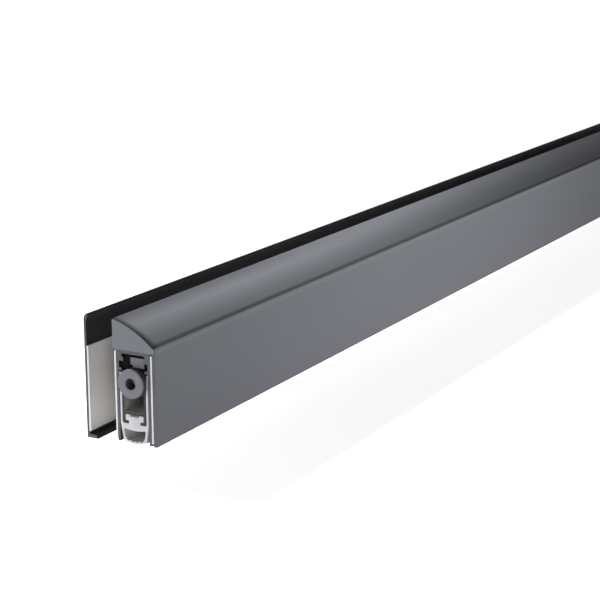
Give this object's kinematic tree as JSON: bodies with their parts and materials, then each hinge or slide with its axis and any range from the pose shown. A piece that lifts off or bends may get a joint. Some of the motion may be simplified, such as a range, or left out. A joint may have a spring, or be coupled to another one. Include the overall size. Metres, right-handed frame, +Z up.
{
  "type": "automatic door bottom seal",
  "caption": "Automatic drop-down bottom seal for a glass door: taped casing with a curved cover, an end button that lowers a silicone seal on bow springs, and a taped counter strip.",
  "frame": {"origin": "centre of the casing tape's adhesive face, on the plane where the seal meets the glass", "axes": "+X along the casing, away from the button end; +Y out of the adhesive face, through the glass to the counter strip; +Z up"},
  "size_m": [0.5866, 0.0269, 0.0411],
  "materials": {
    "mill_aluminium": "matt extruded aluminium",
    "anodised_aluminium": "satin anodised aluminium",
    "foam_tape": "matt white foam tape with an adhesive face",
    "grey_plastic": "matt moulded plastic",
    "silicone": "matt light grey silicone",
    "black_plastic": "matt moulded plastic",
    "button_plastic": "matt grey nylon",
    "zinc_steel": "zinc plated steel",
    "rod_steel": "plain drawn steel",
    "rivet_aluminium": "plain aluminium",
    "spring_steel": "blued spring steel"
  },
  "bodies": {
    "casing": {"casing": "mill_aluminium", "casing_tape": "foam_tape", "cover_tape": "foam_tape", "cover_profile": "anodised_aluminium", "cover_cap_near": "grey_plastic", "cover_cap_far": "grey_plastic", "back_strip": "anodised_aluminium", "back_tape": "foam_tape", "guide_block": "black_plastic", "far_block": "black_plastic", "spring_anchor_near": "black_plastic", "spring_anchor_far": "black_plastic", "block_rivets": "rivet_aluminium", "anchor_leaf_rivets": "rivet_aluminium", "leaf_spring_near": "spring_steel", "leaf_spring_far": "spring_steel"},
    "button": {"button_pad": "button_plastic", "adjusting_spindle": "zinc_steel", "plunger_sleeve": "black_plastic", "driver_block": "black_plastic", "driver_pin": "zinc_steel", "push_rod": "rod_steel", "rod_rivets": "rivet_aluminium", "spring_slider_near": "black_plastic", "spring_slider_far": "black_plastic", "slider_leaf_rivets": "rivet_aluminium"},
    "seal_rail": {"drop_rail": "mill_aluminium", "seal_strip": "silicone", "rail_saddle_near": "black_plastic", "rail_saddle_far": "black_plastic", "saddle_rivets": "rivet_aluminium"}
  },
  "joints": [
    {"name": "button_press", "type": "slide", "parent": "casing", "child": "button", "axis": [1, 0, 0], "range_m": [0, 0.006], "stiffness_N_per_m": 2000, "springref_m": -0.004},
    {"name": "seal_drop", "type": "slide", "parent": "casing", "child": "seal_rail", "axis": [0, 0, -1], "range_m": [0, 0.012], "deforming": ["leaf_spring_near", "leaf_spring_far"]}
  ],
  "couplings": [
    {"joint": "seal_drop", "follows": "button_press", "ratio": 2}
  ]
}
